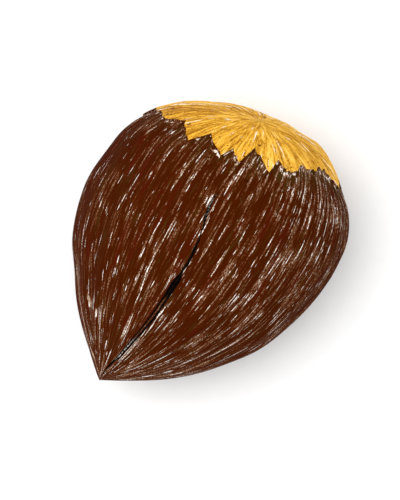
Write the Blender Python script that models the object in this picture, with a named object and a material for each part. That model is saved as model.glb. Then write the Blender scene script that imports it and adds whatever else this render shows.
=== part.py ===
"""A hazelnut in its shell, lying on its side with the pointed tip towards -X.

Sizes are in metres and +Z is up. The shell and the golden scar at its broad end grew as one
piece, so the nut is one closed solid: a round grid whose points are moved by formulas.

A place on the nut has a station, measured from the tip along the nut's axis, and an azimuth,
which turns round the axis from the side that faces up, positive towards -Y.
"""

import math
import random

import bmesh
import bpy
import numpy as np
from mathutils import Matrix, Vector

MM = 0.001

# Outline
LENGTH = 21.86 * MM           # without the scar's rise and the point
WIDTH = 18.03 * MM
THICKNESS = 16.5 * MM
WIDEST_STATION = 14.53 * MM
TIP_FULLNESS = 2.70           # power of the curve from the tip to the widest station
SKEW = 0.101                  # how far the broad end leans over, for each metre to the side
SKEW_POWER = 1.60             # the lean grows with this power of the station
BOW = -0.137 * MM             # how far the middle of the nut lies to one side
SWELL = 0.10 * MM             # three faint long swellings round the nut, one of them on top

# Low bulges and hollows of the two sides: turn, azimuth, height and spread in turns
LUMPS = (
    (0.345, -90.0, -0.18 * MM, 0.085),
    (0.770, -90.0, 0.12 * MM, 0.120),
    (1.620, -90.0, -0.07 * MM, 0.070),
    (1.880, -90.0, -0.06 * MM, 0.080),
    (0.400, 90.0, -0.16 * MM, 0.130),
    (0.670, 90.0, -0.10 * MM, 0.120),
    (1.100, 90.0, -0.09 * MM, 0.100),
    (1.550, 90.0, -0.15 * MM, 0.090),
    (1.800, 90.0, 0.18 * MM, 0.080),
)
LUMP_FADE = 1.0 * MM          # the lumps die out over this distance from the axis

# Point at the tip, which draws the shell out into a straight-sided cone
POINT_LENGTH = 0.30 * MM
POINT_RADIUS = 2.90 * MM
POINT_POWER = 1.30
POINT_SIDE = -0.12 * MM       # how far the tip lies to one side
POINT_FADE = 1.50 * MM        # station over which that dies out

# Shallow ribs along the shell: how many of each kind, how high, and where they start
RIBS = ((17, 0.050 * MM, 0.4), (11, 0.035 * MM, 2.1), (26, 0.015 * MM, 1.3))
RIB_FADE = 1.6 * MM           # the ribs die out over this length at the tip and at the scar

# Scar: a raised cap with a toothed edge
SCAR_RISE = 0.16 * MM
SCAR_STEP = 0.12 * MM         # how wide the slope at its edge is
NOTCH_STATION = 19.25 * MM    # mean station of the notches between the teeth
NOTCH_TILT = 1.15 * MM        # the notches lie this much further up at azimuth 90 degrees
# The teeth that show from above: azimuth and station of the notch before, then of the point
TEETH_SEEN = (
    (-93.0, 18.25 * MM, -77.0, 17.95 * MM),
    (-70.0, 18.05 * MM, -59.0, 17.82 * MM),
    (-47.5, 18.36 * MM, -34.0, 17.25 * MM),
    (-28.9, 18.45 * MM, -15.8, 17.50 * MM),
    (-13.7, 18.32 * MM, -6.8, 17.72 * MM),
    (-5.8, 19.19 * MM, 7.8, 18.19 * MM),
    (8.7, 19.27 * MM, 15.9, 18.93 * MM),
    (18.0, 19.06 * MM, 22.1, 19.17 * MM),
    (23.1, 19.79 * MM, 36.6, 19.99 * MM),
    (42.9, 20.47 * MM, 57.4, 20.31 * MM),
    (61.0, 20.26 * MM, 73.5, 20.02 * MM),
    (81.0, 20.42 * MM, 88.0, 20.32 * MM),
)
TEETH_UNSEEN = 12
UNSEEN_FROM = 95.0            # azimuth where the unseen teeth start
TOOTH_LENGTHS = (0.35 * MM, 1.20 * MM)
TOOTH_LEANS = (0.55, 0.80)    # where a tooth's point is, between its two notches
TOOTH_JITTER = 0.18           # how unevenly the unseen notches are spaced, of one tooth
TOOTH_SEED = 5

# Crack from the tip: station, azimuth and half of its width
CRACK = (
    (0.5 * MM, -5.0, 0.02 * MM),
    (0.9 * MM, -3.0, 0.04 * MM),
    (2.0 * MM, 2.1, 0.09 * MM),
    (4.7 * MM, 3.8, 0.18 * MM),
    (6.1 * MM, 3.6, 0.20 * MM),
    (7.5 * MM, 2.9, 0.19 * MM),
    (8.4 * MM, 2.4, 0.22 * MM),
    (8.9 * MM, 2.5, 0.18 * MM),
    (9.2 * MM, 2.1, 0.08 * MM),
    (10.6 * MM, 1.4, 0.08 * MM),
    (11.0 * MM, 0.8, 0.11 * MM),
    (11.7 * MM, -0.1, 0.06 * MM),
    (12.6 * MM, -2.0, 0.05 * MM),
    (13.4 * MM, -3.8, 0.09 * MM),
    (14.2 * MM, -5.3, 0.08 * MM),
    (15.3 * MM, -6.0, 0.01 * MM),
)
CRACK_DEPTH = 1.7             # depth for each unit of half-width
LEAST_RADIUS = 0.26 * MM      # the crack's columns spread no more within this radius

# How the nut lies
REST_TILT = 7.5               # degrees that the broad end is higher
FLAT_DEPTH = 0.14 * MM        # how much the shell is flattened where it rests

# Grid
COLUMNS_PER_TOOTH = 4
SHELL_ROWS = 37
SCAR_ROWS = 13
ROW_CROWDING = 1.3            # above 1, the rows crowd towards the tip
COLUMN_CROWDING = 1.08        # above 1, the columns crowd towards the crack
CRACK_TOOTH = 5               # the crack's column is the notch before this tooth
TOOTH_REACH = 0.76            # from this share of the way up, the grid turns to the teeth

SHELL_COLOUR = (0.089, 0.022, 0.006, 1.0)
SCAR_COLOUR = (0.82, 0.42, 0.055, 1.0)


def smooth_step(value):
    """Rises smoothly from 0 to 1 as the value does, and is level outside."""
    value = min(max(value, 0.0), 1.0)
    return value * value * (3.0 - 2.0 * value)


def profile(turn):
    """Station, radius and outward direction of the plain outline.

    The turn runs from 0 at the tip, through 1 at the widest station, to 2 at the broad end.
    """
    radius = WIDTH / 2
    if turn <= 1.0:
        left = 1.0 - turn
        station = WIDEST_STATION * turn
        distance = radius * (1.0 - left**TIP_FULLNESS)
        along = WIDEST_STATION
        outward = radius * TIP_FULLNESS * left ** (TIP_FULLNESS - 1.0)
    else:
        angle = (turn - 1.0) * math.pi / 2
        cap = LENGTH - WIDEST_STATION
        station = WIDEST_STATION + cap * math.sin(angle)
        distance = radius * math.cos(angle)
        along = cap * math.cos(angle)
        outward = -radius * math.sin(angle)
    size = math.hypot(along, outward)
    return station, distance, (-outward / size, along / size)


def turn_at(station):
    """The turn that has this station on the plain outline."""
    if station <= WIDEST_STATION:
        return station / WIDEST_STATION
    share = (station - WIDEST_STATION) / (LENGTH - WIDEST_STATION)
    return 1.0 + math.asin(min(share, 1.0)) * 2 / math.pi


def notch_line(azimuth):
    """Station of the smooth line that the notches lie near."""
    return NOTCH_STATION + NOTCH_TILT * math.sin(azimuth)


def scar_edge():
    """Azimuths and stations of the notches and points of the scar's edge, in turn."""
    azimuths = []
    stations = []
    for notch_azimuth, notch_station, point_azimuth, point_station in TEETH_SEEN:
        azimuths += [math.radians(notch_azimuth), math.radians(point_azimuth)]
        stations += [notch_station, point_station]
    draw = random.Random(TOOTH_SEED)
    first = math.radians(UNSEEN_FROM)
    last = azimuths[0] + 2 * math.pi
    span = (last - first) / TEETH_UNSEEN
    notches = [first]
    for tooth in range(1, TEETH_UNSEEN):
        notches.append(first + span * (tooth + draw.uniform(-TOOTH_JITTER, TOOTH_JITTER)))
    notches.append(last)
    for start, end in zip(notches, notches[1:]):
        point = start + (end - start) * draw.uniform(*TOOTH_LEANS)
        azimuths += [start, point]
        stations += [notch_line(start), notch_line(point) - draw.uniform(*TOOTH_LENGTHS)]
    azimuths.append(last)
    stations.append(stations[0])
    return azimuths, stations


def crack_at(station):
    """Azimuth and half-width of the crack at a station."""
    stations = [place[0] for place in CRACK]
    azimuth = np.interp(station, stations, [place[1] for place in CRACK])
    half_width = np.interp(station, stations, [place[2] for place in CRACK], left=0.0, right=0.0)
    return math.radians(azimuth), half_width


def ribs(station, azimuth, past_edge):
    """Height of the shallow ribs, which die out at the tip and at the scar."""
    height = 0.0
    for count, rise, start in RIBS:
        height += rise * math.sin(count * azimuth + start)
    return height * smooth_step(station / RIB_FADE - 0.5) * smooth_step(-past_edge / RIB_FADE)


def lumps(turn, distance, azimuth):
    """Height of the low bulges and hollows at the nut's two sides."""
    height = 0.0
    for place, side, rise, spread in LUMPS:
        facing = max(math.cos(azimuth - math.radians(side)), 0.0)
        height += rise * facing**2 * math.exp(-(((turn - place) / spread) ** 2))
    return height * smooth_step(distance / LUMP_FADE)


def crack_depth(station, radius, azimuth):
    """How deep the crack is at a place."""
    middle, half_width = crack_at(station)
    if half_width <= 0.0:
        return 0.0
    aside = abs(math.remainder(azimuth - middle, 2 * math.pi)) * radius
    return CRACK_DEPTH * max(half_width - aside, 0.0)


def surface_point(turn, azimuth, past_edge):
    """A point of the nut in its own frame, where past_edge is how far into the scar it is."""
    station, distance, direction = profile(turn)
    height = SWELL * math.cos(3 * azimuth) * math.sin(math.pi * turn / 2)
    height += lumps(turn, distance, azimuth)
    height += ribs(station, azimuth, past_edge)
    height += SCAR_RISE * smooth_step(1.0 + past_edge / SCAR_STEP)
    height -= crack_depth(station, distance, azimuth)
    point = POINT_LENGTH * math.exp(-((distance / POINT_RADIUS) ** POINT_POWER))
    if turn > 1.0:
        point = 0.0
    station += height * direction[0] - point
    distance += height * direction[1]
    across = distance * math.sin(azimuth) + BOW * math.sin(math.pi * station / LENGTH)
    across += POINT_SIDE * math.exp(-max(station, 0.0) / POINT_FADE)
    upward = distance * math.cos(azimuth) * THICKNESS / WIDTH
    lean = SKEW * max(station / LENGTH, 0.0) ** SKEW_POWER * across
    return Vector((station + lean, -across, upward))


def crack_columns(columns, middle_column, middle, half_width):
    """Azimuths of the columns where they crowd to the crack, whose lips get a column each."""
    azimuths = []
    half = columns / 2
    for column in range(columns):
        steps = (column - middle_column + half) % columns - half
        share = max(abs(steps) - 1.0, 0.0) / (half - 1.0)
        aside = half_width * min(abs(steps), 1.0)
        aside += (math.pi - half_width) * share**COLUMN_CROWDING
        azimuths.append(middle + math.copysign(aside, steps))
    return azimuths


def grid_places(row, edge):
    """Turn, azimuth and distance past the scar's edge for each column of one row."""
    edge_azimuths, edge_stations = edge
    columns = (len(edge_azimuths) - 1) // 2 * COLUMNS_PER_TOOTH
    corners = np.arange(len(edge_azimuths))
    spots = np.arange(columns) * 2 / COLUMNS_PER_TOOTH
    tooth_azimuths = np.interp(spots, corners, edge_azimuths)
    tooth_stations = np.interp(spots, corners, edge_stations)
    cap_arc = math.pi / 2 * WIDTH / 2

    share = min(row / SHELL_ROWS, 1.0) ** ROW_CROWDING
    middle_column = CRACK_TOOTH * COLUMNS_PER_TOOTH
    middle, half_width = crack_at(share * NOTCH_STATION)
    radius = profile(turn_at(share * NOTCH_STATION))[1]
    half_angle = max(half_width, CRACK[0][2]) / max(radius, LEAST_RADIUS)
    crowded = crack_columns(columns, middle_column, middle, half_angle)

    places = []
    for column in range(columns):
        edge_turn = turn_at(tooth_stations[column])
        smooth_turn = turn_at(notch_line(tooth_azimuths[column]))
        follow = smooth_step((share - TOOTH_REACH) / (1.0 - TOOTH_REACH))
        turned = math.remainder(tooth_azimuths[column] - crowded[column], 2 * math.pi)
        azimuth = crowded[column] + follow * turned
        if row <= SHELL_ROWS:
            turn = share * smooth_turn + follow * (edge_turn - smooth_turn)
        else:
            scar_share = (row - SHELL_ROWS) / SCAR_ROWS
            turn = edge_turn + (2.0 - edge_turn) * scar_share
        if row == SHELL_ROWS - 1:
            turn = edge_turn - SCAR_STEP / cap_arc
            azimuth = tooth_azimuths[column]
        places.append((turn, azimuth, (turn - edge_turn) * cap_arc))
    return places


def nut_mesh():
    """The nut's mesh in its own frame, from a round grid with a pole at each end."""
    edge = scar_edge()
    columns = (len(edge[0]) - 1) // 2 * COLUMNS_PER_TOOTH
    rows = SHELL_ROWS + SCAR_ROWS
    places = [grid_places(row, edge) for row in range(rows + 1)]
    shape = bmesh.new()
    bmesh.ops.create_uvsphere(shape, u_segments=columns, v_segments=rows, radius=1.0)
    scar_verts = set()
    for vert in shape.verts:
        row = round(math.acos(max(-1.0, min(1.0, vert.co.z))) / math.pi * rows)
        column = round(-math.atan2(vert.co.y, vert.co.x) / (2 * math.pi) * columns) % columns
        if row in (0, rows):
            column = 0
        if row >= SHELL_ROWS:
            scar_verts.add(vert)
        vert.co = surface_point(*places[row][column])
    for face in shape.faces:
        face.smooth = True
        face.material_index = int(all(vert in scar_verts for vert in face.verts))
    bmesh.ops.triangulate(shape, faces=shape.faces[:], quad_method='SHORT_EDGE')
    return shape


def lay_down(shape):
    """Tilts the nut to its rest, flattens it where it rests and centres it over the origin."""
    bmesh.ops.rotate(
        shape,
        verts=shape.verts[:],
        cent=(0.0, 0.0, 0.0),
        matrix=Matrix.Rotation(math.radians(-REST_TILT), 3, 'Y'),
    )
    lows = [min(vert.co[axis] for vert in shape.verts) for axis in range(3)]
    highs = [max(vert.co[axis] for vert in shape.verts) for axis in range(3)]
    shift = Vector((
        -(lows[0] + highs[0]) / 2,
        -(lows[1] + highs[1]) / 2,
        -lows[2] - FLAT_DEPTH,
    ))
    for vert in shape.verts:
        vert.co += shift
        vert.co.z = max(vert.co.z, 0.0)


def material(name, colour, roughness):
    """A plain finish of one colour."""
    finish = bpy.data.materials.new(name)
    finish.use_nodes = True
    shader = finish.node_tree.nodes["Principled BSDF"]
    shader.inputs["Base Color"].default_value = colour
    shader.inputs["Roughness"].default_value = roughness
    shader.inputs["Metallic"].default_value = 0.0
    finish.diffuse_color = colour
    return finish


def clear_scene():
    """Removes what the scene holds at the start."""
    for thing in list(bpy.data.objects):
        bpy.data.objects.remove(thing)


def main():
    clear_scene()
    shape = nut_mesh()
    lay_down(shape)
    mesh = bpy.data.meshes.new("hazelnut")
    shape.to_mesh(mesh)
    shape.free()
    mesh.materials.append(material("shell", SHELL_COLOUR, 0.55))
    mesh.materials.append(material("scar", SCAR_COLOUR, 0.75))
    nut = bpy.data.objects.new("hazelnut", mesh)
    collection = bpy.data.collections.new("hazelnut")
    bpy.context.scene.collection.children.link(collection)
    collection.objects.link(nut)


main()
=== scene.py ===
"""The looks of the hazelnut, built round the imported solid.

Sizes are in metres and +Z is up. One fine mesh takes the place of the plain solid. It follows
the same formulas, with fibres, pits and a frayed scar edge added. A place on the nut has a
station, measured from the tip along its axis, a turn, which runs from 0 at the tip through 1 at
the widest station to 2 at the broad end, and an azimuth round the axis from the side that faces
up, positive towards -Y.
"""

import math
import random

import bpy
import numpy as np
from mathutils import Matrix, Vector, noise


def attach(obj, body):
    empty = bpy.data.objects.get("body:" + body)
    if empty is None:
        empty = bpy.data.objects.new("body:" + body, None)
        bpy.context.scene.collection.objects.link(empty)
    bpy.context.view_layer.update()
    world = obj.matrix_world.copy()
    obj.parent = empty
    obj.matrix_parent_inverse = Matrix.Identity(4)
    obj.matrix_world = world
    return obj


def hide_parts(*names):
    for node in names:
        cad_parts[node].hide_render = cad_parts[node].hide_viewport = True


MM = 0.001

# Outline, as in the solid
LENGTH = 21.86 * MM
WIDTH = 18.03 * MM
THICKNESS = 16.5 * MM
WIDEST_STATION = 14.53 * MM
TIP_FULLNESS = 2.70
SKEW = 0.101
SKEW_POWER = 1.60
BOW = -0.137 * MM
SWELL = 0.10 * MM
POINT_LENGTH = 0.30 * MM
POINT_RADIUS = 2.90 * MM
POINT_POWER = 1.30
POINT_SIDE = -0.12 * MM
POINT_FADE = 1.50 * MM
RIBS = ((17, 0.050 * MM, 0.4), (11, 0.035 * MM, 2.1), (26, 0.015 * MM, 1.3))
RIB_FADE = 1.6 * MM

# Low bulges and hollows of the two sides, as in the solid: turn, azimuth, height and spread in turns
LUMPS = (
    (0.345, -90.0, -0.18 * MM, 0.085),
    (0.770, -90.0, 0.12 * MM, 0.120),
    (1.620, -90.0, -0.07 * MM, 0.070),
    (1.880, -90.0, -0.06 * MM, 0.080),
    (0.400, 90.0, -0.16 * MM, 0.130),
    (0.670, 90.0, -0.10 * MM, 0.120),
    (1.100, 90.0, -0.09 * MM, 0.100),
    (1.550, 90.0, -0.15 * MM, 0.090),
    (1.800, 90.0, 0.18 * MM, 0.080),
)
LUMP_FADE = 1.0 * MM

# Scar, as in the solid
SCAR_RISE = 0.16 * MM
SCAR_STEP = 0.12 * MM
NOTCH_STATION = 19.25 * MM
NOTCH_TILT = 1.15 * MM
TEETH_SEEN = (
    (-93.0, 18.25 * MM, -77.0, 17.95 * MM),
    (-70.0, 18.05 * MM, -59.0, 17.82 * MM),
    (-47.5, 18.36 * MM, -34.0, 17.25 * MM),
    (-28.9, 18.45 * MM, -15.8, 17.50 * MM),
    (-13.7, 18.32 * MM, -6.8, 17.72 * MM),
    (-5.8, 19.19 * MM, 7.8, 18.19 * MM),
    (8.7, 19.27 * MM, 15.9, 18.93 * MM),
    (18.0, 19.06 * MM, 22.1, 19.17 * MM),
    (23.1, 19.79 * MM, 36.6, 19.99 * MM),
    (42.9, 20.47 * MM, 57.4, 20.31 * MM),
    (61.0, 20.26 * MM, 73.5, 20.02 * MM),
    (81.0, 20.42 * MM, 88.0, 20.32 * MM),
)
TEETH_UNSEEN = 12
UNSEEN_FROM = 95.0
TOOTH_LENGTHS = (0.35 * MM, 1.20 * MM)
TOOTH_LEANS = (0.55, 0.80)
TOOTH_JITTER = 0.18
TOOTH_SEED = 5

# Crack, as in the solid: station, azimuth and half of its width
CRACK = (
    (0.5 * MM, -5.0, 0.02 * MM),
    (0.9 * MM, -3.0, 0.04 * MM),
    (2.0 * MM, 2.1, 0.09 * MM),
    (4.7 * MM, 3.8, 0.18 * MM),
    (6.1 * MM, 3.6, 0.20 * MM),
    (7.5 * MM, 2.9, 0.19 * MM),
    (8.4 * MM, 2.4, 0.22 * MM),
    (8.9 * MM, 2.5, 0.18 * MM),
    (9.2 * MM, 2.1, 0.08 * MM),
    (10.6 * MM, 1.4, 0.08 * MM),
    (11.0 * MM, 0.8, 0.11 * MM),
    (11.7 * MM, -0.1, 0.06 * MM),
    (12.6 * MM, -2.0, 0.05 * MM),
    (13.4 * MM, -3.8, 0.09 * MM),
    (14.2 * MM, -5.3, 0.08 * MM),
    (15.3 * MM, -6.0, 0.01 * MM),
)
CRACK_DEPTH = 1.7             # times half of its width
WALL_SHARE = 0.55             # share of the half-width over which the walls go down
RIDGE_RISE = 0.45             # share of the depth that the ridge in the middle fills
RIDGE_SHARE = 0.42            # share of the half-width that the ridge takes
LEAST_RADIUS = 0.26 * MM

# How the nut lies, as in the solid
REST_TILT = 7.5
FLAT_DEPTH = 0.14 * MM

# Fine grid
COLUMNS_PER_TOOTH = 16
LIP_COLUMNS = 5               # columns from the middle of the crack to its lip
SHELL_ROWS = 186
STEP_ROWS = 4                 # the last shell rows climb the scar's edge
SCAR_ROWS = 62
ROW_CROWDING = 1.2
COLUMN_CROWDING = 1.06
CRACK_TOOTH = 5
TOOTH_REACH = 0.76
MAP_MARGIN = 0.01             # share of the flat map left free round each strip

# Fine relief
EDGE_FRAY = 0.13 * MM
EDGE_FRAY_WAVES = ((22, 1.7), (60, 4.1))  # fineness and place in the noise
CRACK_FRAY = 0.20             # share of the crack's half-width
CRACK_SWING = 0.35            # degrees
CRACK_FRAY_WAVES = ((0.45 * MM, 3.1, 1.0), (0.17 * MM, 7.7, 0.6))  # length, place, strength
GRAIN_FADE = 0.12             # turn below which the shell's grain dies out
STRIA_HEIGHT = 0.014 * MM
STRIA_LENGTHENING = 14.0
STRIA_BLEND_RADIUS = 4.5 * MM
COARSE_STRIAE = (13, 0.30)    # fineness round the nut and along it, as in the next ones
FINE_STRIAE = (30, 0.45)
PITS = (34, 2.6)
PIT_DEPTH = 0.020 * MM
PIT_LEVEL = 0.42
PIT_EDGE = 0.25
FIBRE_HEIGHT = 0.035 * MM
COARSE_FIBRES = (11, 0.35)
FINE_FIBRES = (24, 0.45)
FINE_FIBRE_SHARE = 0.7
LUMP_HEIGHT = 0.050 * MM
SCAR_LUMPS = (4.5, 9.0)
FIBRE_CENTRE = (-21.0, 21.0 * MM)  # azimuth and station of the spot where the scar's fibres meet

# Values that the materials read, in millimetres
CRACK_REACH_LIMIT = 9.0
CRACK_SIDE_LIMIT = 2.0

# Shell patterns: fineness across and along the strokes, place in the noise, detail and roughness
STROKE_TWIST = 10.0           # degrees that the shell's strokes turn round the axis for each turn
SHORT_FLECKS = (76.0, 11.0, 3.0, 2.0, 0.5)
LONG_FLECKS = (86.0, 6.2, 31.0, 2.0, 0.5)
STROKES = (48.0, 5.6, 13.0, 4.0, 0.62)
BUNDLES = (19.0, 3.2, 23.0, 2.0, 0.5)
TINTS = (15.0, 2.6, 41.0, 3.0, 0.5)
MOSS = (46.0, 7.5, 47.0, 3.0, 0.6)
GRAIN_FINENESS = 11.7

# How much each pattern counts in the density of the shell's strokes
STROKE_WEIGHT = 1.12
BUNDLE_WEIGHT = 0.19
CROWD_WEIGHT = 0.14
DENSER_BY_SCAR = 0.032
DENSER_BY_TIP = 0.040
DENSER_TO_SIDE = (0.030, 0.036)  # near the tip and near the widest place
DENSITY_SHIFT = 0.239

# Pale line by the shell's side
SIDE_LINE_INSET = 0.30        # mm from the nut's side to the pale line that runs to the tip
SIDE_LINE_WIDTH = 0.065       # mm to each side
SIDE_LINE_WAVER = 0.25        # mm

# Colours, 0 to 255. The stops give the shell as its pale grain gets denser, and the scar by its tone.
SHELL_STOPS = (
    (0.00, (61, 19, 1)),
    (0.06, (76, 33, 9)),
    (0.14, (93, 51, 26)),
    (0.30, (124, 90, 66)),
    (0.55, (172, 149, 129)),
    (0.80, (224, 212, 200)),
    (1.00, (250, 247, 243)),
)
OLIVE = (62, 42, 10)
MAROON = (76, 16, 6)
# Painted shade: black painted into the crack's groove
CRACK_PAINTED_SHADE = (9, 7, 7)
CRACK_WORN = (112, 108, 102)
RIDGE_WOOD = ((82, 38, 14), (140, 116, 98))
RIDGE_HATCH = ((40, 30, 24), (240, 234, 228))
SCAR_STOPS = (
    (0.30, (146, 92, 12)),
    (0.40, (186, 128, 24)),
    (0.50, (220, 163, 46)),
    (0.60, (240, 183, 66)),
    (0.74, (252, 204, 104)),
)
SCRATCH_OCHRE = (158, 102, 18)
SPECK_CREAM = (254, 244, 224)
DOT_BROWN = (96, 44, 12)
SHELL_SPECULAR = 0.008
SHELL_SPECULAR_TINT = (1.0, 0.6, 0.35, 1.0)
SCAR_SPECULAR = 0.08
FLOOR_SPECULAR = 0.1

# Floor and light
FLOOR_HALF = 0.6
FLOOR_TONES = (0.86, 0.90)
LAMP_PLACE = (-0.14, 0.16, 0.60)
LAMP_WIDTH = 0.5
LAMP_POWER = 3.2
SURROUND_STRENGTH = 0.85

# Picture: where the nut is in the 400 by 500 frame
FRAME_WIDTH = 400.0
FRAME_HEIGHT = 500.0
PIXELS_PER_METRE = 14221.0
TIP_PIXEL = (99.2, 380.1)
AXIS_RISE = 54.22             # degrees that the nut's axis rises to the right in the picture
CAMERA_DISTANCE = 0.40
CLIP_RANGE = (0.01, 5.0)
SENSOR_HEIGHT = 24.0


def smooth_step(value):
    """Rises smoothly from 0 to 1 as the value does, and is level outside."""
    value = min(max(value, 0.0), 1.0)
    return value * value * (3.0 - 2.0 * value)


def profile(turn):
    """Station, radius and outward direction of the plain outline."""
    radius = WIDTH / 2
    if turn <= 1.0:
        left = 1.0 - turn
        station = WIDEST_STATION * turn
        distance = radius * (1.0 - left**TIP_FULLNESS)
        along = WIDEST_STATION
        outward = radius * TIP_FULLNESS * left ** (TIP_FULLNESS - 1.0)
    else:
        angle = (turn - 1.0) * math.pi / 2
        cap = LENGTH - WIDEST_STATION
        station = WIDEST_STATION + cap * math.sin(angle)
        distance = radius * math.cos(angle)
        along = cap * math.cos(angle)
        outward = -radius * math.sin(angle)
    size = math.hypot(along, outward)
    return station, distance, (-outward / size, along / size)


def turn_at(station):
    """The turn that has this station on the plain outline."""
    if station <= WIDEST_STATION:
        return station / WIDEST_STATION
    share = (station - WIDEST_STATION) / (LENGTH - WIDEST_STATION)
    return 1.0 + math.asin(min(share, 1.0)) * 2 / math.pi


def notch_line(azimuth):
    """Station of the smooth line that the notches lie near."""
    return NOTCH_STATION + NOTCH_TILT * math.sin(azimuth)


def scar_edge():
    """Azimuths and stations of the notches and points of the scar's edge, in turn."""
    azimuths = []
    stations = []
    for notch_azimuth, notch_station, point_azimuth, point_station in TEETH_SEEN:
        azimuths += [math.radians(notch_azimuth), math.radians(point_azimuth)]
        stations += [notch_station, point_station]
    draw = random.Random(TOOTH_SEED)
    first = math.radians(UNSEEN_FROM)
    last = azimuths[0] + 2 * math.pi
    span = (last - first) / TEETH_UNSEEN
    notches = [first]
    for tooth in range(1, TEETH_UNSEEN):
        notches.append(first + span * (tooth + draw.uniform(-TOOTH_JITTER, TOOTH_JITTER)))
    notches.append(last)
    for start, end in zip(notches, notches[1:]):
        point = start + (end - start) * draw.uniform(*TOOTH_LEANS)
        azimuths += [start, point]
        stations += [notch_line(start), notch_line(point) - draw.uniform(*TOOTH_LENGTHS)]
    azimuths.append(last)
    stations.append(stations[0])
    return azimuths, stations


def crack_at(station):
    """Azimuth and half-width of the crack at a station, with its lips a little ragged."""
    stations = [place[0] for place in CRACK]
    azimuth = np.interp(station, stations, [place[1] for place in CRACK])
    half_width = np.interp(station, stations, [place[2] for place in CRACK], left=0.0, right=0.0)
    ragged = 0.0
    for length, place, strength in CRACK_FRAY_WAVES:
        ragged += strength * noise.noise((station / length, place, 0.0))
    return math.radians(azimuth + CRACK_SWING * ragged), half_width * (1.0 + CRACK_FRAY * ragged)


def crack_section(aside):
    """Depth of the crack across its width, where aside runs from 0 in the middle to 1."""
    walls = smooth_step((1.0 - aside) / WALL_SHARE)
    ridge = RIDGE_RISE * smooth_step(1.0 - aside / RIDGE_SHARE)
    return walls - ridge


def ribs(station, azimuth, past_edge):
    """Height of the shallow ribs, which die out at the tip and at the scar."""
    height = 0.0
    for count, rise, start in RIBS:
        height += rise * math.sin(count * azimuth + start)
    return height * smooth_step(station / RIB_FADE - 0.5) * smooth_step(-past_edge / RIB_FADE)


def lumps(turn, distance, azimuth):
    """Height of the low bulges and hollows at the nut's two sides."""
    height = 0.0
    for place, side, rise, spread in LUMPS:
        facing = max(math.cos(azimuth - math.radians(side)), 0.0)
        height += rise * facing**2 * math.exp(-(((turn - place) / spread) ** 2))
    return height * smooth_step(distance / LUMP_FADE)


def ring_noise(way, along, fineness, shift=0.0):
    """Noise at a direction, given by its cosine and sine, and at a place along it.

    The fineness has one number for going round and one for going along.
    """
    round_it, along_it = fineness
    return noise.noise((way[0] * round_it, way[1] * round_it, along * along_it + shift))


def shell_grain(turn, azimuth, radius):
    """Fine lengthwise grooves and small pits of the shell."""
    around = (math.cos(azimuth), math.sin(azimuth))
    along = turn * STRIA_LENGTHENING
    coarse = ring_noise(around, along, COARSE_STRIAE)
    fine = ring_noise(around, along, FINE_STRIAE, 9.0)
    blend = smooth_step(radius / STRIA_BLEND_RADIUS - 0.4)
    height = STRIA_HEIGHT * (coarse * (1.2 - 0.5 * blend) + fine * blend)
    dots = ring_noise(around, along, PITS)
    return height - PIT_DEPTH * smooth_step((dots - PIT_LEVEL) / PIT_EDGE) * blend


def scar_grain(turn, azimuth, fibre_angle, reach):
    """Fibres that spread from one spot of the scar, on a lumpy ground."""
    around = (math.cos(azimuth), math.sin(azimuth))
    fibre_way = (math.cos(fibre_angle), math.sin(fibre_angle))
    out = reach / MM
    fibres = ring_noise(fibre_way, out, COARSE_FIBRES)
    fibres += FINE_FIBRE_SHARE * ring_noise(fibre_way, out, FINE_FIBRES, 5.0)
    ground = ring_noise(around, turn, SCAR_LUMPS)
    return FIBRE_HEIGHT * fibres * smooth_step(out / 1.5) + LUMP_HEIGHT * ground


def fibre_place(station, distance, azimuth):
    """Direction and distance of a place from the spot where the scar's fibres meet."""
    centre_azimuth = math.radians(FIBRE_CENTRE[0])
    centre_station, centre_distance, slope = profile(turn_at(FIBRE_CENTRE[1]))
    sine = math.sin(centre_azimuth)
    cosine = math.cos(centre_azimuth)
    outward = Vector((slope[0], slope[1] * sine, slope[1] * cosine))
    sideways = Vector((0.0, cosine, -sine))
    onward = outward.cross(sideways)
    centre = Vector((centre_station, centre_distance * sine, centre_distance * cosine))
    place = Vector((station, distance * math.sin(azimuth), distance * math.cos(azimuth)))
    offset = place - centre
    return math.atan2(offset.dot(sideways), offset.dot(onward)), offset.length


def relief(turn, azimuth, past_edge, fibre_angle, reach):
    """Height of everything but the crack over the plain outline."""
    station, distance = profile(turn)[:2]
    on_scar = smooth_step(1.0 + past_edge / SCAR_STEP)
    on_shell = (1.0 - on_scar) * smooth_step(turn / GRAIN_FADE)
    height = SWELL * math.cos(3 * azimuth) * math.sin(math.pi * turn / 2)
    height += lumps(turn, distance, azimuth)
    height += ribs(station, azimuth, past_edge)
    height += shell_grain(turn, azimuth, distance) * on_shell
    height += (SCAR_RISE + scar_grain(turn, azimuth, fibre_angle, reach)) * on_scar
    return height


def bent_place(station, distance, azimuth):
    """A place of the straight nut after it is flattened, bowed and leant to one side."""
    across = distance * math.sin(azimuth) + BOW * math.sin(math.pi * station / LENGTH)
    across += POINT_SIDE * math.exp(-max(station, 0.0) / POINT_FADE)
    upward = distance * math.cos(azimuth) * THICKNESS / WIDTH
    lean = SKEW * max(station / LENGTH, 0.0) ** SKEW_POWER * across
    return Vector((station + lean, -across, upward))


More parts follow.
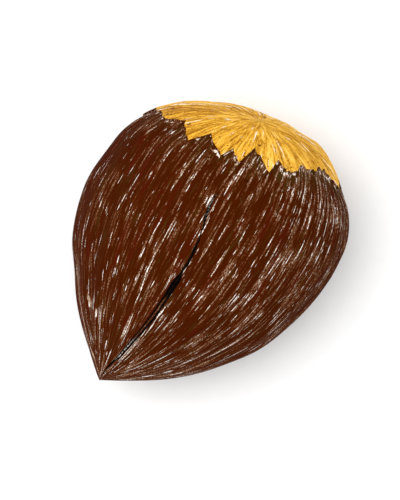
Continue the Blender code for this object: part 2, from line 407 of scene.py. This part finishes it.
def surface_point(turn, azimuth, past_edge):
    """A point of the nut in its own frame, with the values that its materials read."""
    station, radius, direction = profile(turn)
    fibre_angle, reach = fibre_place(station, radius, azimuth)
    height = relief(turn, azimuth, past_edge, fibre_angle, reach)
    middle, half_width = crack_at(station)
    offset = math.remainder(azimuth - middle, 2 * math.pi) * radius
    aside = abs(offset)
    if half_width > 0.0 and aside < half_width:
        height -= CRACK_DEPTH * half_width * crack_section(aside / half_width)
    point = POINT_LENGTH * math.exp(-((radius / POINT_RADIUS) ** POINT_POWER))
    if turn > 1.0:
        point = 0.0
    station += height * direction[0] - point
    spot = bent_place(station, radius + height * direction[1], azimuth)

    crack_reach = CRACK_REACH_LIMIT
    if station < CRACK[-1][0]:
        crack_reach = min((aside - half_width) / MM, CRACK_REACH_LIMIT)
    stroke = azimuth + math.radians(STROKE_TWIST) * turn
    values = {
        "around": (math.cos(stroke), math.sin(stroke), turn),
        "fibre": (math.cos(fibre_angle), math.sin(fibre_angle), reach / MM),
        "radius": radius / MM,
        "above": radius * math.cos(azimuth) / MM,
        "past_edge": past_edge / MM,
        "crack_reach": crack_reach,
        "crack_width": half_width / MM,
        "crack_side": min(max(offset / MM, -CRACK_SIDE_LIMIT), CRACK_SIDE_LIMIT),
    }
    return spot, values


def crack_columns(columns, middle_column, middle, half_width):
    """Azimuths of the columns, where they crowd to the crack and some lie inside it."""
    azimuths = []
    half = columns / 2
    for column in range(columns):
        steps = (column - middle_column + half) % columns - half
        share = max(abs(steps) - LIP_COLUMNS, 0.0) / (half - LIP_COLUMNS)
        aside = half_width * min(abs(steps) / LIP_COLUMNS, 1.0)
        aside += (math.pi - half_width) * share**COLUMN_CROWDING
        azimuths.append(middle + math.copysign(aside, steps))
    return azimuths


def frayed_edge(columns):
    """Azimuth and station of the scar's edge at each column, a little frayed."""
    edge_azimuths, edge_stations = scar_edge()
    corners = np.arange(len(edge_azimuths))
    spots = np.arange(columns) * 2 / COLUMNS_PER_TOOTH
    azimuths = np.interp(spots, corners, edge_azimuths)
    stations = np.interp(spots, corners, edge_stations)
    for column in range(columns):
        way = (math.cos(azimuths[column]), math.sin(azimuths[column]))
        for fineness, place in EDGE_FRAY_WAVES:
            stations[column] += EDGE_FRAY * ring_noise(way, place, (fineness, 1.0))
    return azimuths, stations


def grid_row(row, tooth_azimuths, tooth_stations):
    """Turn, azimuth and distance past the scar's edge for each column of one row."""
    columns = len(tooth_azimuths)
    cap_arc = math.pi / 2 * WIDTH / 2
    climb_from = SHELL_ROWS - STEP_ROWS
    share = min(row / climb_from, 1.0) ** ROW_CROWDING
    level = share * NOTCH_STATION
    middle, half_width = crack_at(level)
    half_angle = max(half_width, CRACK[0][2]) / max(profile(turn_at(level))[1], LEAST_RADIUS)
    crowded = crack_columns(columns, CRACK_TOOTH * COLUMNS_PER_TOOTH, middle, half_angle)
    follow = smooth_step((share - TOOTH_REACH) / (1.0 - TOOTH_REACH))
    places = []
    for column in range(columns):
        edge_turn = turn_at(tooth_stations[column])
        foot_turn = edge_turn - SCAR_STEP / cap_arc
        smooth_turn = turn_at(notch_line(tooth_azimuths[column]))
        turned = math.remainder(tooth_azimuths[column] - crowded[column], 2 * math.pi)
        azimuth = crowded[column] + follow * turned
        if row <= climb_from:
            turn = share * smooth_turn + follow * (foot_turn - smooth_turn)
        elif row <= SHELL_ROWS:
            turn = foot_turn + (edge_turn - foot_turn) * (row - climb_from) / STEP_ROWS
        else:
            turn = edge_turn + (2.0 - edge_turn) * (row - SHELL_ROWS) / SCAR_ROWS
        places.append((turn, azimuth, (turn - edge_turn) * cap_arc))
    return places


def lay_down(points):
    """Tilts the nut to its rest, flattens it where it rests and centres it over the origin."""
    tilt = Matrix.Rotation(math.radians(-REST_TILT), 3, 'Y')
    points = points @ np.array(tilt).T
    lows = points.min(axis=0)
    highs = points.max(axis=0)
    shift = -(lows + highs) / 2
    shift[2] = -lows[2] - FLAT_DEPTH
    points = points + shift
    points[:, 2] = np.maximum(points[:, 2], 0.0)
    return points, Vector(shift)


def nut_mesh():
    """The fine closed mesh, with the values for its materials, and how far it was shifted."""
    count = len(scar_edge()[0]) - 1
    columns = count // 2 * COLUMNS_PER_TOOTH
    rows = SHELL_ROWS + SCAR_ROWS
    tooth_azimuths, tooth_stations = frayed_edge(columns)
    spots = []
    values = []
    for row in range(rows + 1):
        places = grid_row(row, tooth_azimuths, tooth_stations)
        if row in (0, rows):
            places = places[:1]
        for place in places:
            spot, value = surface_point(*place)
            spots.append(spot)
            values.append(value)
    points, shift = lay_down(np.array([tuple(spot) for spot in spots]))

    def number(row, column):
        """Index of the point at a row and a column."""
        if row == 0:
            return 0
        if row == rows:
            return len(spots) - 1
        return 1 + (row - 1) * columns + column % columns

    faces = []
    places_on_map = []
    materials = []
    for row in range(rows):
        for column in range(columns):
            corners = ((row, column), (row + 1, column), (row + 1, column + 1), (row, column + 1))
            if row == 0:
                corners = corners[:3]
            elif row == rows - 1:
                corners = (corners[0], corners[1], corners[3])
            faces.append([number(*corner) for corner in corners])
            places_on_map += [map_place(corner, column, columns, rows) for corner in corners]
            materials.append(int(row >= SHELL_ROWS))
    mesh = bpy.data.meshes.new("nut")
    mesh.from_pydata(points.tolist(), [], faces)
    mesh.polygons.foreach_set("material_index", materials)
    mesh.polygons.foreach_set("use_smooth", [True] * len(faces))
    layer = mesh.uv_layers.new(name="OFBake")
    layer.data.foreach_set("uv", [part for place in places_on_map for part in place])
    add_values(mesh, values)
    mesh.update()
    return mesh, shift


def add_values(mesh, values):
    """Gives the mesh the values of each point that its materials read."""
    for name, example in values[0].items():
        if isinstance(example, tuple):
            field = mesh.attributes.new(name, 'FLOAT_VECTOR', 'POINT')
            field.data.foreach_set("vector", [part for value in values for part in value[name]])
        else:
            field = mesh.attributes.new(name, 'FLOAT', 'POINT')
            field.data.foreach_set("value", [value[name] for value in values])


def map_place(corner, face_column, columns, rows):
    """Place on the flat map, where the nut's two long halves are strips, one over the other."""
    row, column = corner
    if row in (0, rows):
        column = face_column + 0.5
    start = (CRACK_TOOTH * COLUMNS_PER_TOOTH) - columns // 4
    offset = (face_column - start) % columns + (column - face_column)
    half = columns // 2
    strip = int((face_column - start) % columns >= half)
    across = (offset - strip * half) / half
    along = row / rows
    return (
        MAP_MARGIN + across * (1.0 - 2 * MAP_MARGIN),
        strip * 0.5 + MAP_MARGIN + along * (0.5 - 2 * MAP_MARGIN),
    )


def linear(red, green, blue):
    """A colour given in 0 to 255 as the shaders need it."""
    parts = []
    for part in (red, green, blue):
        part /= 255.0
        parts.append(part / 12.92 if part <= 0.04045 else ((part + 0.055) / 1.055) ** 2.4)
    return (*parts, 1.0)


class Graph:
    """Short ways to add and link a material's nodes."""

    def __init__(self, name):
        self.material = bpy.data.materials.new(name)
        self.material.use_nodes = True
        self.tree = self.material.node_tree
        self.tree.nodes.clear()
        self.shader = self.tree.nodes.new("ShaderNodeBsdfPrincipled")
        output = self.tree.nodes.new("ShaderNodeOutputMaterial")
        self.tree.links.new(self.shader.outputs["BSDF"], output.inputs["Surface"])

    def put(self, socket, value):
        """Links an output to the socket, or sets the socket's own value."""
        if isinstance(value, bpy.types.NodeSocket):
            self.tree.links.new(value, socket)
        elif value is not None:
            socket.default_value = value

    def dress(self, colour, roughness, specular):
        """Gives the shader its colour, roughness and specular level."""
        self.put(self.shader.inputs["Base Color"], colour)
        self.put(self.shader.inputs["Roughness"], roughness)
        self.put(self.shader.inputs["Specular IOR Level"], specular)

    def field(self, name, kind="Fac"):
        """A value that the mesh holds at its points."""
        node = self.tree.nodes.new("ShaderNodeAttribute")
        node.attribute_name = name
        return node.outputs[kind]

    def parts(self, vector):
        """The three numbers of a vector."""
        node = self.tree.nodes.new("ShaderNodeSeparateXYZ")
        self.put(node.inputs[0], vector)
        return node.outputs[:]

    def math(self, operation, first, second=0.0, third=None):
        """One operation on up to three numbers."""
        node = self.tree.nodes.new("ShaderNodeMath")
        node.operation = operation
        self.put(node.inputs[0], first)
        self.put(node.inputs[1], second)
        self.put(node.inputs[2], third)
        return node.outputs[0]

    def chain(self, operation, first, *others):
        """The operation done with each of the others in turn."""
        for other in others:
            first = self.math(operation, first, other)
        return first

    def scaled(self, vector, factors, shift=(0.0, 0.0, 0.0)):
        """The vector with each number times a fixed factor, and shifted."""
        node = self.tree.nodes.new("ShaderNodeVectorMath")
        node.operation = 'MULTIPLY_ADD'
        self.put(node.inputs[0], vector)
        node.inputs[1].default_value = factors
        node.inputs[2].default_value = shift
        return node.outputs[0]

    def stretched(self, vector, factor):
        """The vector times a number that may vary over the surface."""
        node = self.tree.nodes.new("ShaderNodeVectorMath")
        node.operation = 'SCALE'
        self.put(node.inputs[0], vector)
        self.put(node.inputs["Scale"], factor)
        return node.outputs[0]

    def noise(self, vector, scale=1.0, detail=2.0, roughness=0.5, distortion=0.0):
        """Noise from 0 to 1 at the vector's place."""
        node = self.tree.nodes.new("ShaderNodeTexNoise")
        node.inputs["Scale"].default_value = scale
        node.inputs["Detail"].default_value = detail
        node.inputs["Roughness"].default_value = roughness
        node.inputs["Distortion"].default_value = distortion
        self.put(node.inputs["Vector"], vector)
        return node.outputs["Fac"]

    def band(self, value, low, high, to_low=0.0, to_high=1.0):
        """Smooth step of the value from low to high."""
        node = self.tree.nodes.new("ShaderNodeMapRange")
        node.interpolation_type = 'SMOOTHSTEP'
        self.put(node.inputs["Value"], value)
        self.put(node.inputs["From Min"], low)
        self.put(node.inputs["From Max"], high)
        self.put(node.inputs["To Min"], to_low)
        self.put(node.inputs["To Max"], to_high)
        return node.outputs["Result"]

    def mix(self, share, first, second):
        """A colour between the first and the second."""
        node = self.tree.nodes.new("ShaderNodeMix")
        node.data_type = 'RGBA'
        self.put(node.inputs[0], share)
        self.put(node.inputs[6], first)
        self.put(node.inputs[7], second)
        return node.outputs[2]

    def bump(self, height, distance):
        """Lets light fall as if the surface rose with the height."""
        node = self.tree.nodes.new("ShaderNodeBump")
        node.inputs["Strength"].default_value = 1.0
        node.inputs["Distance"].default_value = distance
        self.put(node.inputs["Height"], height)
        self.tree.links.new(node.outputs["Normal"], self.shader.inputs["Normal"])

    def ramp(self, value, stops):
        """Colour that follows the value through the stops, each a place and a colour."""
        node = self.tree.nodes.new("ShaderNodeValToRGB")
        places = node.color_ramp.elements
        while len(places) < len(stops):
            places.new(1.0)
        for place, (where, colour) in zip(places, stops):
            place.position = where
            place.color = linear(*colour)
        self.put(node.inputs[0], value)
        return node.outputs[0]

    def streaks(self, lines, width, length, seed, radius, detail=2.0, roughness=0.5, waver=0.0):
        """Noise drawn out along the lines, whose width stays about even where they converge."""
        wide = self.scaled(lines, (width, width, length), (seed, 0.0, 0.0))
        narrow = self.scaled(lines, (width * 0.42, width * 0.42, length * 1.5), (0.0, seed, 0.0))
        outer = self.noise(wide, detail=detail, roughness=roughness, distortion=waver)
        inner = self.noise(narrow, detail=detail, roughness=roughness, distortion=waver)
        share = self.band(radius, 2.0, 3.6)
        rest = self.math('SUBTRACT', 1.0, share)
        level = self.math('MULTIPLY', self.math('SUBTRACT', outer, 0.5), share)
        level = self.math('MULTIPLY_ADD', self.math('SUBTRACT', inner, 0.5), rest, level)
        strength = self.math('MULTIPLY_ADD', self.math('MULTIPLY', share, rest), 1.64, 1.0)
        return self.math('MULTIPLY_ADD', level, strength, 0.5)


class Shell(Graph):
    """The shell's material, with the values that its patterns share."""

    def __init__(self):
        super().__init__("shell_brown")
        self.lines = self.field("around", "Vector")
        self.sideways, self.turn = self.parts(self.lines)[1:]
        self.radius = self.field("radius")
        self.above = self.field("above")
        self.past_edge = self.field("past_edge")
        self.crack_reach = self.field("crack_reach")
        self.crack_width = self.field("crack_width")
        self.crack_side = self.field("crack_side")
        self.even = self.stretched(self.lines, self.radius)
        self.grain = self.noise(self.even, GRAIN_FINENESS, detail=2.0, roughness=0.6)
        self.tints = self.layer(*TINTS)

    def layer(self, width, length, seed, detail, roughness):
        """One pattern of streaks along the shell."""
        return self.streaks(self.lines, width, length, seed, self.radius, detail, roughness)

    def stroke_ground(self):
        """How dense the strokes are. They crowd to the scar, to the tip and to one side."""
        crowd = self.noise(self.scaled(self.lines, (3.0, 3.0, 5.0), (5.0, 1.0, 0.0)), detail=1.0)
        by_scar = self.band(self.past_edge, -4.5, -0.5)
        by_tip = self.band(self.turn, 0.55, 0.10)
        to_side = self.band(self.turn, 0.15, 0.90, *DENSER_TO_SIDE)
        ground = self.math('MULTIPLY', self.layer(*STROKES), STROKE_WEIGHT)
        ground = self.math('MULTIPLY_ADD', self.layer(*BUNDLES), BUNDLE_WEIGHT, ground)
        ground = self.math('MULTIPLY_ADD', crowd, CROWD_WEIGHT, ground)
        ground = self.math('MULTIPLY_ADD', by_scar, DENSER_BY_SCAR, ground)
        ground = self.math('MULTIPLY_ADD', by_tip, DENSER_BY_TIP, ground)
        ground = self.math('ADD', ground, self.math('MULTIPLY', self.sideways, to_side))
        return self.math('SUBTRACT', ground, DENSITY_SHIFT)

    def beside_crack(self):
        """More flecks along the crack, most of them on its -Y side."""
        return self.chain(
            'MULTIPLY',
            self.band(self.crack_reach, 0.45, 0.10),
            self.band(self.turn, 1.05, 0.80),
            self.band(self.crack_side, -0.1, 0.1, 0.02, 0.085),
            self.band(self.turn, 0.08, 0.26, 0.3, 1.0),
        )

    def by_crack_end(self):
        """More flecks by the crack's upper end, on its +Y side."""
        return self.chain(
            'MULTIPLY',
            self.band(self.crack_side, -0.02, -0.12),
            self.band(self.crack_side, -0.75, -0.50),
            self.band(self.turn, 0.92, 0.97),
            self.band(self.turn, 1.08, 1.04, 0.0, 0.065),
        )

    def strokes(self, ground):
        """Soft pale strokes where the ground is dense, and bright flecks over them."""
        soft = self.chain(
            'MULTIPLY',
            self.band(ground, 0.475, 0.71),
            0.50,
            self.band(self.grain, 0.40, 0.60, 0.12, 1.0),
        )
        flecks = self.math('MAXIMUM', self.layer(*SHORT_FLECKS), self.layer(*LONG_FLECKS))
        level = self.math('MULTIPLY', self.math('SUBTRACT', ground, 0.510), 0.50)
        level = self.chain('ADD', level, flecks, self.beside_crack(), self.by_crack_end())
        bright = self.band(level, 0.675, 0.735)
        bright = self.math('MULTIPLY', bright, self.band(self.grain, 0.36, 0.54, 0.25, 1.0))
        return self.math('MAXIMUM', soft, bright)

    def scar_gaps(self):
        """Bare spots beside the scar's teeth."""
        gaps = self.noise(self.scaled(self.lines, (24.0, 24.0, 24.0), (0.0, 0.0, 3.0)), detail=3.0)
        gaps = self.math('MULTIPLY_ADD', self.sideways, 0.03, gaps)
        return self.chain(
            'MULTIPLY',
            self.band(gaps, 0.52, 0.60),
            self.band(self.past_edge, -0.55, -0.25),
            self.band(self.past_edge, -0.13, -0.08, 0.9, 0.35),
            self.band(self.grain, 0.36, 0.52, 0.35, 1.0),
        )

    def tip_spots(self):
        """Bare spots near the tip."""
        spots = self.noise(self.scaled(self.lines, (15.0, 15.0, 10.0), (0.0, 6.0, 0.0)), detail=1.5)
        return self.chain(
            'MULTIPLY',
            self.band(spots, 0.66, 0.71),
            self.band(self.turn, 0.32, 0.22),
            self.band(self.grain, 0.36, 0.50, 0.35, 1.0),
        )

    def side_line(self):
        """The pale line a little inside the nut's +Y side, over the quarter next to the tip.

        The radius and the height above the axis give how far a place is out to the side, and the
        line lies where that is the inset less than the radius.
        """
        squared = self.math('MULTIPLY', self.radius, self.radius)
        squared = self.math('SUBTRACT', squared, self.math('MULTIPLY', self.above, self.above))
        out = self.math('SQRT', self.math('MAXIMUM', squared, 0.0))
        inward = self.math('SUBTRACT', self.math('SUBTRACT', self.radius, out), SIDE_LINE_INSET)
        waver = self.math('SUBTRACT', self.tints, 0.5)
        inward = self.math('MULTIPLY_ADD', waver, SIDE_LINE_WAVER, inward)
        return self.chain(
            'MULTIPLY',
            self.band(self.math('ABSOLUTE', inward), SIDE_LINE_WIDTH, 0.01),
            self.band(self.above, 0.0, 0.3),
            self.band(self.sideways, -0.3, -0.5),
            self.band(self.turn, 0.46, 0.34),
            self.band(self.grain, 0.36, 0.56, 0.15, 0.60),
        )

    def browns(self, pale):
        """Colour of the shell, where olive and maroon strokes lie between the pale ones."""
        by_scar = self.band(self.past_edge, -2.2, -0.5)
        by_scar = self.math('MULTIPLY', by_scar, self.band(self.sideways, -0.6, 0.5, 0.4, 1.0))
        shade = self.math('MULTIPLY_ADD', by_scar, 0.18, self.layer(*MOSS))
        grained = self.band(self.grain, 0.35, 0.55, 0.4, 0.9)
        olive = self.math('MULTIPLY', self.band(shade, 0.56, 0.68), grained)
        maroon = self.math('MULTIPLY', self.band(self.tints, 0.44, 0.32), 0.50)
        plain = self.band(pale, 0.25, 0.05)
        colour = self.ramp(pale, SHELL_STOPS)
        colour = self.mix(self.math('MULTIPLY', olive, plain), colour, linear(*OLIVE))
        return self.mix(self.math('MULTIPLY', maroon, plain), colour, linear(*MAROON))

    def crack_bottom(self):
        """Painted shade, black, in the crack, with its hatched ridge in the lower half and its worn
        grey upper end.
        """
        offset = self.math('ADD', self.crack_reach, self.crack_width)
        aside = self.math('DIVIDE', offset, self.crack_width)
        hatch = self.noise(self.scaled(self.even, (10.6, 10.6, 8.8), (0.0, 8.0, 0.0)), detail=2.0)
        ridge = self.math('MULTIPLY_ADD', self.math('SUBTRACT', hatch, 0.5), 1.2, aside)
        ridge = self.chain(
            'MULTIPLY',
            self.band(ridge, 0.50, 0.28),
            self.band(self.turn, 0.51, 0.47, 0.03, 1.0),
            self.band(self.turn, 0.10, 0.15),
        )
        wood = self.mix(self.band(hatch, 0.52, 0.62), *[linear(*tone) for tone in RIDGE_WOOD])
        hatched = self.mix(self.band(hatch, 0.46, 0.53), *[linear(*tone) for tone in RIDGE_HATCH])
        on_ridge = self.mix(self.band(self.turn, 0.20, 0.27), hatched, wood)
        worn = self.math('MULTIPLY', self.band(hatch, 0.50, 0.58), self.band(self.turn, 0.90, 0.95))
        # Painted shade: the crack's walls and floor are coloured black, turning grey at the worn
        # upper end
        painted_shade_and_worn = self.mix(worn, linear(*CRACK_PAINTED_SHADE), linear(*CRACK_WORN))
        return self.mix(ridge, painted_shade_and_worn, on_ridge)


def shell_material():
    """Red-brown shell: fine pale broken lines along it on maroon and olive strokes."""
    shell = Shell()
    ground = shell.stroke_ground()
    patterns = (shell.strokes(ground), shell.scar_gaps(), shell.tip_spots(), shell.side_line())
    pale = shell.chain('MAXIMUM', *patterns)
    # Inside the crack the shell takes the crack's colours, which are mostly painted shade
    in_crack = shell.band(shell.crack_reach, 0.03, -0.01)
    colour = shell.mix(in_crack, shell.browns(pale), shell.crack_bottom())
    shell.dress(colour, shell.band(ground, 0.45, 0.65, 0.68, 0.90), SHELL_SPECULAR)
    shell.shader.inputs["Specular Tint"].default_value = SHELL_SPECULAR_TINT
    shell.bump(shell.math('MULTIPLY_ADD', shell.grain, 0.25, ground), 0.05 * MM)
    return shell.material


def scar_material():
    """Golden scar: fine fibres that spread from one spot, with ochre lines and a few dots."""
    scar = Graph("scar_gold")
    lines = scar.field("fibre", "Vector")
    reach = scar.parts(lines)[2]
    sideways = scar.parts(scar.field("around", "Vector"))[1]
    past_edge = scar.field("past_edge")
    above = scar.field("above")

    broad = scar.streaks(lines, 6.0, 0.16, 2.0, reach, detail=2.0)
    fine = scar.streaks(lines, 24.0, 0.60, 9.0, reach, detail=4.0, roughness=0.66, waver=0.25)
    scratches = scar.streaks(lines, 34.0, 0.70, 51.0, reach, detail=2.0, waver=0.20)
    pale = scar.streaks(lines, 24.0, 0.45, 17.0, reach, detail=2.0)
    grain = scar.noise(scar.scaled(lines, (70.0, 70.0, 7.0)), detail=2.0, roughness=0.6)
    dots = scar.noise(scar.scaled(lines, (13.0, 13.0, 3.0), (0.0, 4.0, 0.0)), detail=1.0)

    tone = scar.math('MULTIPLY_ADD', broad, 0.35, fine)
    tone = scar.math('MULTIPLY_ADD', grain, 0.60, tone)
    tone = scar.math('ADD', tone, scar.band(above, 2.2, 1.2, 0.0, 0.11))
    tone = scar.math('SUBTRACT', tone, 0.475)
    tone = scar.math('ADD', tone, scar.band(sideways, 0.2, -0.8, 0.0, -0.06))
    colour = scar.ramp(tone, SCAR_STOPS)
    scratch = scar.math('MULTIPLY', scar.band(scratches, 0.57, 0.66), 0.80)
    colour = scar.mix(scratch, colour, linear(*SCRATCH_OCHRE))
    rim = scar.math('MULTIPLY', scar.band(above, 2.7, 2.2), scar.band(above, 1.4, 1.8))
    pale = scar.math('MULTIPLY_ADD', rim, 0.13, pale)
    specks = scar.math('MULTIPLY', scar.band(pale, 0.655, 0.70), scar.band(grain, 0.38, 0.55))
    colour = scar.mix(specks, colour, linear(*SPECK_CREAM))
    edge_dots = scar.math('MULTIPLY', scar.band(dots, 0.68, 0.71), scar.band(past_edge, 1.5, 0.6))
    colour = scar.mix(edge_dots, colour, linear(*DOT_BROWN))
    scar.dress(colour, scar.band(fine, 0.35, 0.65, 0.82, 0.66), SCAR_SPECULAR)
    scar.bump(scar.math('MULTIPLY_ADD', fine, 0.8, broad), 0.06 * MM)
    return scar.material


def floor_material():
    """Pale matt paper-like floor."""
    floor = Graph("floor_pale")
    place = floor.tree.nodes.new("ShaderNodeTexCoord").outputs["Object"]
    grain = floor.noise(floor.scaled(place, (900.0, 900.0, 900.0)), detail=3.0)
    colour = floor.mix(grain, *[(tone, tone, tone, 1.0) for tone in FLOOR_TONES])
    floor.dress(colour, 0.9, FLOOR_SPECULAR)
    floor.bump(grain, 0.02 * MM)
    return floor.material


def link(thing):
    """Puts a new object into the scene."""
    bpy.context.scene.collection.objects.link(thing)
    return thing


def add_nut():
    """The fine nut, which takes the plain solid's place."""
    mesh, shift = nut_mesh()
    mesh.materials.append(shell_material())
    mesh.materials.append(scar_material())
    nut = link(bpy.data.objects.new("nut", mesh))
    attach(nut, "root")
    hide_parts("hazelnut")
    return shift


def add_floor():
    """A wide flat floor under the nut."""
    half = FLOOR_HALF
    corners = [(-half, -half, 0.0), (half, -half, 0.0), (half, half, 0.0), (-half, half, 0.0)]
    mesh = bpy.data.meshes.new("floor")
    mesh.from_pydata(corners, [], [(0, 1, 2, 3)])
    mesh.materials.append(floor_material())
    floor = link(bpy.data.objects.new("floor", mesh))


def add_camera(shift):
    """A camera square to the nut's axis, rolled so that the axis rises as in the picture."""
    tilt = Matrix.Rotation(math.radians(-REST_TILT), 3, 'Y')
    axis = tilt @ Vector((1.0, 0.0, 0.0))
    back = tilt @ Vector((0.0, 0.0, 1.0))
    side = Vector((0.0, -1.0, 0.0))
    rise = math.radians(AXIS_RISE)
    right = axis * math.cos(rise) + side * math.sin(rise)
    up = axis * math.sin(rise) - side * math.cos(rise)
    tip = tilt @ surface_point(0.0, 0.0, -0.01)[0] + shift
    middle = tip + right * (FRAME_WIDTH / 2 - TIP_PIXEL[0]) / PIXELS_PER_METRE
    middle += up * (TIP_PIXEL[1] - FRAME_HEIGHT / 2) / PIXELS_PER_METRE
    data = bpy.data.cameras.new("camera")
    data.sensor_fit = 'VERTICAL'
    data.sensor_height = SENSOR_HEIGHT
    data.lens = SENSOR_HEIGHT * CAMERA_DISTANCE * PIXELS_PER_METRE / FRAME_HEIGHT
    data.clip_start, data.clip_end = CLIP_RANGE
    camera = link(bpy.data.objects.new("camera", data))
    turn = Matrix((right, up, back)).transposed()
    camera.matrix_world = Matrix.Translation(middle + back * CAMERA_DISTANCE) @ turn.to_4x4()
    bpy.context.scene.camera = camera


def add_lights():
    """An even pale surround and one large soft lamp."""
    world = bpy.data.worlds.new("surround")
    world.use_nodes = True
    background = world.node_tree.nodes["Background"]
    background.inputs["Color"].default_value = (1.0, 1.0, 1.0, 1.0)
    background.inputs["Strength"].default_value = SURROUND_STRENGTH
    bpy.context.scene.world = world
    data = bpy.data.lights.new("key", 'AREA')
    data.shape = 'DISK'
    data.size = LAMP_WIDTH
    data.energy = LAMP_POWER
    lamp = link(bpy.data.objects.new("key", data))
    lamp.location = LAMP_PLACE
    aim = Vector((0.0, 0.0, 0.0)) - lamp.location
    lamp.rotation_euler = aim.to_track_quat('-Z', 'Y').to_euler()


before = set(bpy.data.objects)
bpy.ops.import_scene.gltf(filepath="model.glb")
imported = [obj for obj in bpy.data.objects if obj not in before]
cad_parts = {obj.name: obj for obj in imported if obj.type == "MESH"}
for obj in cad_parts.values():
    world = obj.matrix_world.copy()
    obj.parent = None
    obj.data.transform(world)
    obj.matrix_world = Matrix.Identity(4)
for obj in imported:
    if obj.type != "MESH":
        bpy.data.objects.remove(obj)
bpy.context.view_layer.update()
shift = add_nut()
add_floor()
add_camera(shift)
add_lights()
bpy.context.scene.view_settings.view_transform = 'Standard'
